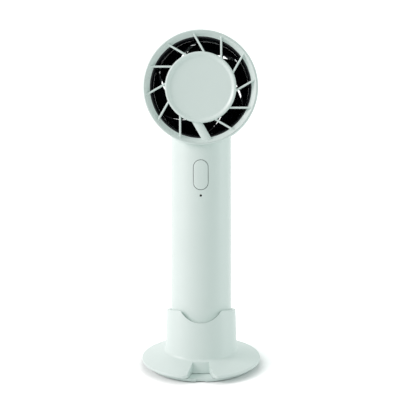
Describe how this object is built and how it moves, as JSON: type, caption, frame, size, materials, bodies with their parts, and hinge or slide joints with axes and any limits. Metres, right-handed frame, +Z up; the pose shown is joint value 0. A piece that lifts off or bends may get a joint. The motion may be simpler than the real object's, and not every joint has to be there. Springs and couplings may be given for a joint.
{
  "type": "portable fan on a stand",
  "caption": "Hand-held fan with a round head and swirled grille, leaning back in the cup of a round weighted foot; it lifts out, its impeller spins and its button presses.",
  "frame": {"origin": "centre of the foot's flat underside, on the table", "axes": "+Z up, the fan's front and the foot's notch look along -Y, the fan leans back towards +Y, +X is to the right seen from the front"},
  "size_m": [0.0726, 0.1046, 0.2032],
  "materials": {
    "white_plastic": "satin, cool white",
    "black_plastic": "satin black",
    "blade_plastic": "glossy black",
    "smoked_lens": "smoked, glossy",
    "foam_rubber": "matt foam",
    "weight_steel": "dull, uncoated",
    "zinc_steel": "zinc plated",
    "bearing_steel": "ground",
    "can_steel": "zinc plated, drawn",
    "spring_steel": "dark oxide",
    "laminations": "stamped sheets",
    "magnet": "dull dark grey",
    "brass": "turned",
    "copper_wire": "enamelled copper winding",
    "nickel": "nickel plated",
    "board_green": "green solder mask",
    "battery_wrap": "blue shrink wrap",
    "chip_black": "moulded black",
    "red_lead": "red insulation",
    "black_lead": "black insulation"
  },
  "bodies": {
    "stand": {"base_shell": "white_plastic", "base_cover": "white_plastic", "base_weight": "weight_steel", "base_pad": "foam_rubber", "base_screw_1": "zinc_steel", "base_screw_2": "zinc_steel", "base_screw_3": "zinc_steel"},
    "fan": {"front_housing": "white_plastic", "rear_housing": "white_plastic", "end_cap": "white_plastic", "front_grille": "white_plastic", "rear_grille": "white_plastic", "air_duct": "black_plastic", "light_pipe": "smoked_lens", "indicator_led": "smoked_lens", "housing_screw_1": "zinc_steel", "housing_screw_2": "zinc_steel", "housing_screw_3": "zinc_steel", "housing_screw_4": "zinc_steel", "front_bearing": "bearing_steel", "rear_bearing": "bearing_steel", "stator_core": "laminations", "bearing_tube": "brass", "stator_coil_1": "copper_wire", "stator_coil_2": "copper_wire", "stator_coil_3": "copper_wire", "stator_coil_4": "copper_wire", "stator_coil_5": "copper_wire", "stator_coil_6": "copper_wire", "usb_c_socket": "nickel", "battery_tab_top": "nickel", "battery_tab_bottom": "nickel", "control_board": "board_green", "charge_board": "board_green", "motor_board": "board_green", "battery_cell": "battery_wrap", "tact_switch": "chip_black", "motor_chip": "chip_black", "charge_chip": "chip_black", "motor_lead_1": "red_lead", "power_lead_1": "red_lead", "battery_lead": "red_lead", "motor_lead_2": "black_lead", "power_lead_2": "black_lead"},
    "rotor": {"impeller": "blade_plastic", "rotor_can": "can_steel", "magnet_ring": "magnet", "motor_shaft": "bearing_steel", "shaft_clip": "spring_steel"},
    "button": {"power_button": "white_plastic", "switch_plunger": "chip_black"}
  },
  "joints": [
    {"name": "fan_lift", "type": "slide", "parent": "stand", "child": "fan", "axis": [0, 0.2588, 0.9659], "range_m": [0, 0.06]},
    {"name": "rotor_spin", "type": "hinge", "parent": "fan", "child": "rotor", "pos_m": [0, 0.04399, 0.16417], "axis": [0, -0.9659, 0.2588], "continuous": true},
    {"name": "button_press", "type": "slide", "parent": "fan", "child": "button", "axis": [0, 0.9659, -0.2588], "range_m": [0, 0.0005], "stiffness_N_per_m": 1200, "springref_m": -0.0003}
  ]
}
